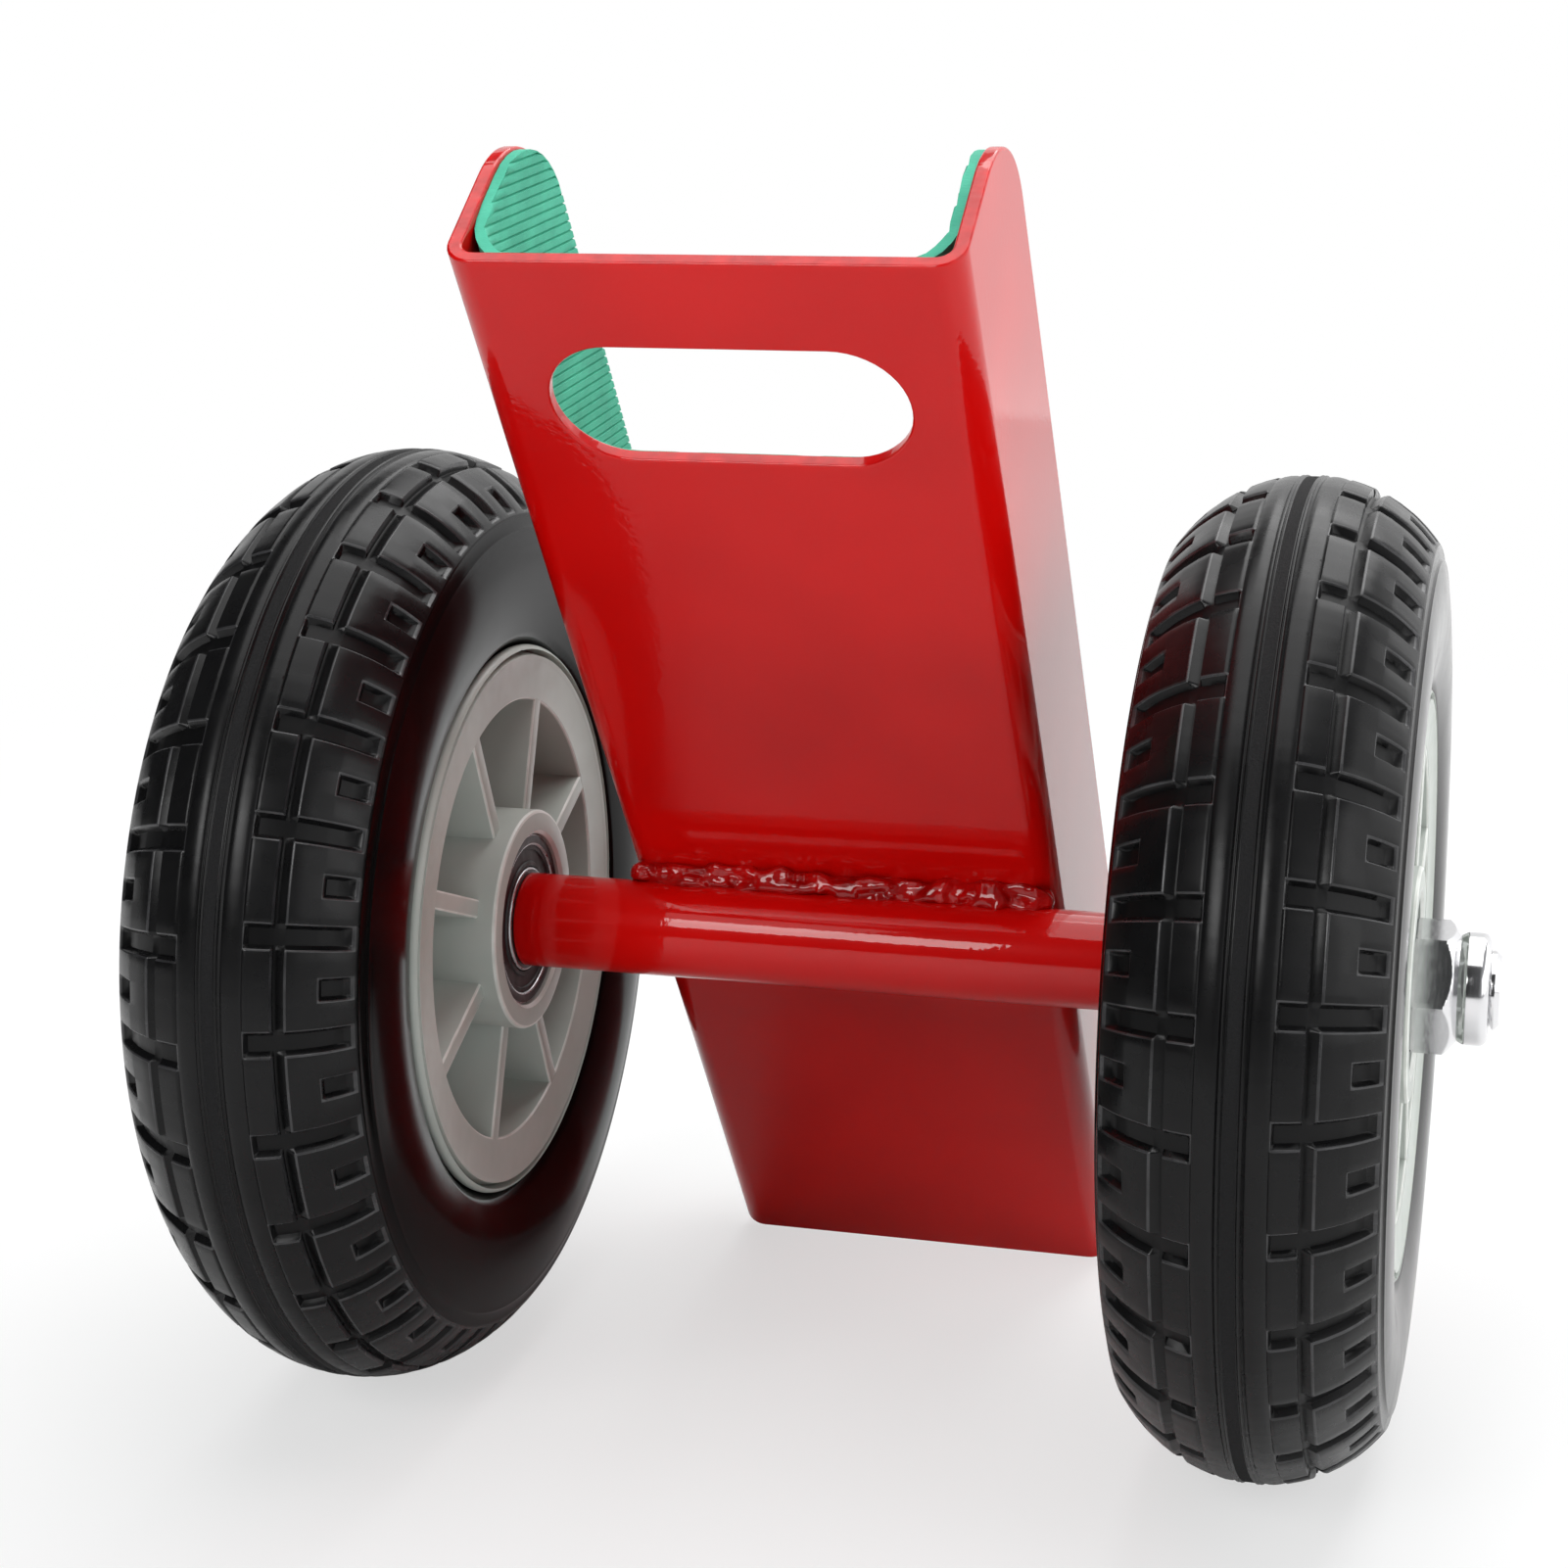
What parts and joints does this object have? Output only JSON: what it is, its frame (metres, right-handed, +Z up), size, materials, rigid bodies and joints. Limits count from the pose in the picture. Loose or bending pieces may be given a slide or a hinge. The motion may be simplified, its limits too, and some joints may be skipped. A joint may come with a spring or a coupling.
{
  "type": "drywall cart",
  "caption": "Leaning steel channel with a hand slot and a ribbed liner, welded to an axle tube between two free-rolling tyred wheels, for carrying drywall sheets on edge.",
  "frame": {"origin": "bottom centre of the part's box: on the floor that the tyres and the channel's lower edge rest on", "axes": "+X along the axle to the right of the picture, +Y to the open side of the channel, +Z up"},
  "size_m": [0.344, 0.275, 0.3336],
  "materials": {
    "red_enamel": "gloss enamel",
    "green_liner": "ribbed matt rubber",
    "zinc": "bright zinc plating",
    "nylon": "plain nylon",
    "bearing_steel": "ground steel",
    "seal_rubber": "smooth seal",
    "tyre_rubber": "moulded rubber",
    "rim_plastic": "moulded plastic"
  },
  "bodies": {
    "frame": {"channel": "red_enamel", "channel_liner": "green_liner", "axle_tube": "red_enamel", "upper_weld": "red_enamel", "lower_weld": "red_enamel", "axle_shaft": "zinc", "left_axle_nut": "zinc", "left_nut_insert": "nylon", "left_bearing_spacer": "bearing_steel", "left_inboard_inner_ring": "bearing_steel", "left_outboard_inner_ring": "bearing_steel", "right_axle_nut": "zinc", "right_nut_insert": "nylon", "right_bearing_spacer": "bearing_steel", "right_inboard_inner_ring": "bearing_steel", "right_outboard_inner_ring": "bearing_steel"},
    "left_wheel": {"left_tyre": "tyre_rubber", "left_rim": "rim_plastic", "left_inboard_outer_ring": "bearing_steel", "left_inboard_seals": "seal_rubber", "left_outboard_outer_ring": "bearing_steel", "left_outboard_seals": "seal_rubber"},
    "right_wheel": {"right_tyre": "tyre_rubber", "right_rim": "rim_plastic", "right_inboard_outer_ring": "bearing_steel", "right_inboard_seals": "seal_rubber", "right_outboard_outer_ring": "bearing_steel", "right_outboard_seals": "seal_rubber"},
    "left_inboard_ball_set": {"left_inboard_balls": "bearing_steel", "left_inboard_cage": "bearing_steel"},
    "left_outboard_ball_set": {"left_outboard_balls": "bearing_steel", "left_outboard_cage": "bearing_steel"},
    "right_inboard_ball_set": {"right_inboard_balls": "bearing_steel", "right_inboard_cage": "bearing_steel"},
    "right_outboard_ball_set": {"right_outboard_balls": "bearing_steel", "right_outboard_cage": "bearing_steel"}
  },
  "joints": [
    {"name": "left_wheel_spin", "type": "hinge", "parent": "frame", "child": "left_wheel", "pos_m": [0, -0.01051, 0.127], "axis": [1, 0, 0], "continuous": true},
    {"name": "right_wheel_spin", "type": "hinge", "parent": "frame", "child": "right_wheel", "pos_m": [0, -0.01051, 0.127], "axis": [1, 0, 0], "continuous": true},
    {"name": "left_inboard_ball_set_orbit", "type": "hinge", "parent": "frame", "child": "left_inboard_ball_set", "pos_m": [0, -0.01051, 0.127], "axis": [1, 0, 0], "continuous": true},
    {"name": "left_outboard_ball_set_orbit", "type": "hinge", "parent": "frame", "child": "left_outboard_ball_set", "pos_m": [0, -0.01051, 0.127], "axis": [1, 0, 0], "continuous": true},
    {"name": "right_inboard_ball_set_orbit", "type": "hinge", "parent": "frame", "child": "right_inboard_ball_set", "pos_m": [0, -0.01051, 0.127], "axis": [1, 0, 0], "continuous": true},
    {"name": "right_outboard_ball_set_orbit", "type": "hinge", "parent": "frame", "child": "right_outboard_ball_set", "pos_m": [0, -0.01051, 0.127], "axis": [1, 0, 0], "continuous": true}
  ],
  "couplings": [
    {"joint": "left_inboard_ball_set_orbit", "follows": "left_wheel_spin", "ratio": 0.61791},
    {"joint": "left_outboard_ball_set_orbit", "follows": "left_wheel_spin", "ratio": 0.61791},
    {"joint": "right_inboard_ball_set_orbit", "follows": "right_wheel_spin", "ratio": 0.61791},
    {"joint": "right_outboard_ball_set_orbit", "follows": "right_wheel_spin", "ratio": 0.61791}
  ]
}
